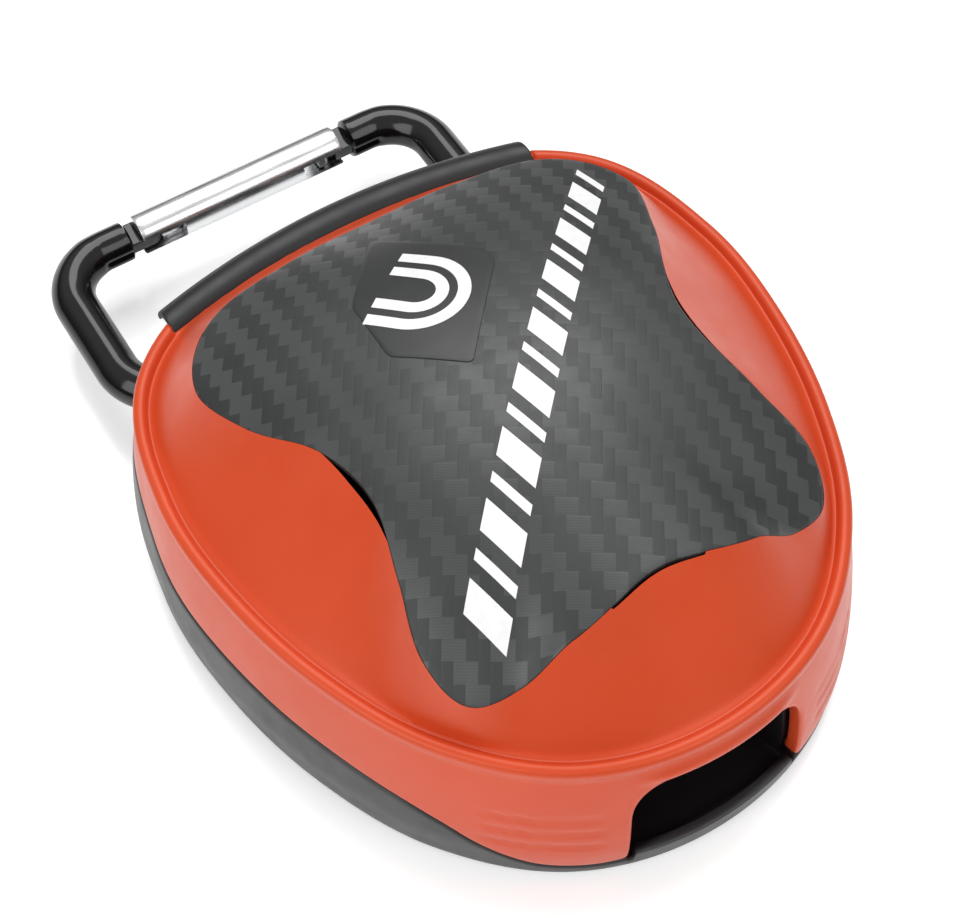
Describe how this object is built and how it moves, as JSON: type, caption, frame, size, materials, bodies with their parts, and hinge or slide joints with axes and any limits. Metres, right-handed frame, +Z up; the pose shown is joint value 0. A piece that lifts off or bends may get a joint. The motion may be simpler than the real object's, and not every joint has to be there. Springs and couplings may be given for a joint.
{
  "type": "mouthguard case",
  "caption": "Clamshell case for a sports mouthguard: domed vented lid with a grip panel, thumb notch, rear hinge and a carabiner clip, with the mouthguard inside.",
  "frame": {"origin": "centre of the case's flat bottom, on the surface it stands on; the centre of the outline without the carabiner", "axes": "+Z up, -Y the front with the thumb notch, +Y the back with the hinge and the carabiner, +X to the right seen from the front"},
  "size_m": [0.0924, 0.1246, 0.045],
  "materials": {
    "base_black": "fine-textured moulded polypropylene",
    "lid_red": "satin moulded polypropylene",
    "grip_panel": "soft-touch panel with a woven carbon pattern",
    "badge_grey": "smooth satin",
    "hinge_dark": "satin",
    "carabiner_black": "gloss black anodised aluminium",
    "gate_silver": "bright satin",
    "pin_steel": "drawn wire",
    "spring_steel": "drawn wire",
    "guard_shell": "satin moulded EVA",
    "guard_liner": "soft gel"
  },
  "bodies": {
    "root": {"base_shell": "base_black", "hinge_pin": "pin_steel", "mouthguard_shell": "guard_shell", "mouthguard_liner": "guard_liner"},
    "lid": {"lid_shell": "lid_red", "grip_overlay": "grip_panel", "badge_plate": "badge_grey", "hinge_cover": "hinge_dark"},
    "carabiner": {"carabiner_frame": "carabiner_black", "gate_pivot_pin": "pin_steel"},
    "gate": {"carabiner_gate": "gate_silver", "gate_latch_pin": "pin_steel", "gate_spring": "spring_steel"},
    "plunger": {"gate_plunger": "pin_steel"}
  },
  "joints": [
    {"name": "lid_hinge", "type": "hinge", "parent": "root", "child": "lid", "pos_m": [0, 0.045, 0.0227], "axis": [-1, 0, 0], "range_deg": [0, 95]},
    {"name": "carabiner_swing", "type": "hinge", "parent": "root", "child": "carabiner", "pos_m": [-0.00485, 0.04325, 0.0093], "axis": [1, 0, 0], "range_deg": [-90, 20]},
    {"name": "gate_pivot", "type": "hinge", "parent": "carabiner", "child": "gate", "pos_m": [-0.0202, 0.0717, 0.0093], "axis": [0, 0, -1], "range_deg": [0, 25], "stiffness_Nm_per_rad": 0.05, "springref_deg": -11.46},
    {"name": "plunger_slide", "type": "slide", "parent": "gate", "child": "plunger", "axis": [1, 0, 0], "range_m": [0, 0.0005]}
  ],
  "couplings": [
    {"joint": "plunger_slide", "follows": "gate_pivot", "m_per_rad": 0.00114}
  ]
}
